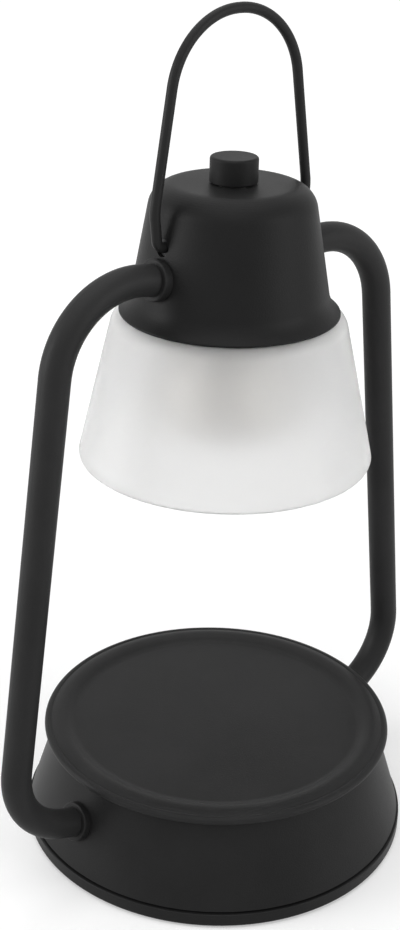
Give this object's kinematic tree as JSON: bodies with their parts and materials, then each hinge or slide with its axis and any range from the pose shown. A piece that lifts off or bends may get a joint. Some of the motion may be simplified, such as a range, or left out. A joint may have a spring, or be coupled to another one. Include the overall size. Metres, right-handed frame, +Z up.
{
  "type": "candle warmer lamp",
  "caption": "Candle warmer lamp: weighted cone base with a dished plate, bent side tubes, bell hood with a dimmer knob, frosted glass shade round a reflector bulb, and a wire carrying bail.",
  "frame": {"origin": "centre of the base on the table, level with the bottom of the rubber feet", "axes": "+Z up, the side tubes and the bail's pivots along X, the cord gland at +Y"},
  "size_m": [0.202, 0.15, 0.3176],
  "materials": {
    "base_coat": "satin black powder coat on spun steel",
    "tray_coat": "satin black powder coat on pressed steel",
    "plate_coat": "satin black powder coat on pressed steel",
    "tube_coat": "satin black powder coat on steel tube",
    "collar_coat": "satin black powder coat on turned steel",
    "hood_coat": "satin black powder coat on spun steel",
    "ring_coat": "black paint on a turned ring",
    "wire_coat": "satin black coat on steel wire",
    "knob_coat": "fine matte black on a turned knob",
    "screw_black": "black oxide",
    "ballast_iron": "bare, oiled",
    "zinc_steel": "bright zinc plate",
    "plated_sheet": "plated sheet steel",
    "bare_brass": "turned",
    "pin_metal": "turned",
    "bulb_mirror": "silvered glass bowl",
    "bulb_glass": "clear, ribbed",
    "frosted_glass": "white frosted glass",
    "ceramic": "unglazed white ceramic",
    "foot_rubber": "matte",
    "silicone": "translucent silicone",
    "black_nylon": "moulded",
    "white_nylon": "moulded",
    "cable_sleeve": "smooth sleeve"
  },
  "bodies": {
    "stand": {"base_shell": "base_coat", "bottom_tray": "tray_coat", "ballast_disc": "ballast_iron", "rubber_feet": "foot_rubber", "tray_screws": "zinc_steel", "candle_plate": "plate_coat", "plate_nuts": "zinc_steel", "earth_tag": "bare_brass", "cord_gland": "black_nylon", "terminal_block": "white_nylon", "terminal_screws": "bare_brass", "left_tube": "tube_coat", "right_tube": "tube_coat", "tube_nipples": "bare_brass", "lower_collars": "collar_coat", "upper_collars": "collar_coat", "tube_nuts": "zinc_steel", "feed_cable": "cable_sleeve", "hood_shell": "hood_coat", "standoffs": "zinc_steel", "standoff_screws": "zinc_steel", "carrier_plate": "plated_sheet", "gallery_screws": "zinc_steel", "shade_gallery": "plated_sheet", "shade_gasket": "silicone", "glass_shade": "frosted_glass", "shade_ring": "ring_coat", "lampholder": "ceramic", "holder_screws": "zinc_steel", "lamp_leads": "cable_sleeve", "bulb_base": "ceramic", "bulb_reflector": "bulb_mirror", "bulb_lens": "bulb_glass", "bulb_pins": "pin_metal", "dimmer_body": "black_nylon", "dimmer_nut": "zinc_steel", "bail_bushes": "black_nylon"},
    "knob": {"dimmer_knob": "knob_coat", "dimmer_shaft": "pin_metal", "knob_screw": "screw_black"},
    "bail": {"bail_handle": "wire_coat", "bail_clips": "zinc_steel"}
  },
  "joints": [
    {"name": "dimmer_turn", "type": "hinge", "parent": "stand", "child": "knob", "pos_m": [0, 0, 0.26], "axis": [0, 0, 1], "range_deg": [0, 300]},
    {"name": "bail_swing", "type": "hinge", "parent": "stand", "child": "bail", "pos_m": [0, 0, 0.2405], "axis": [1, 0, 0], "range_deg": [-115, 115]}
  ]
}
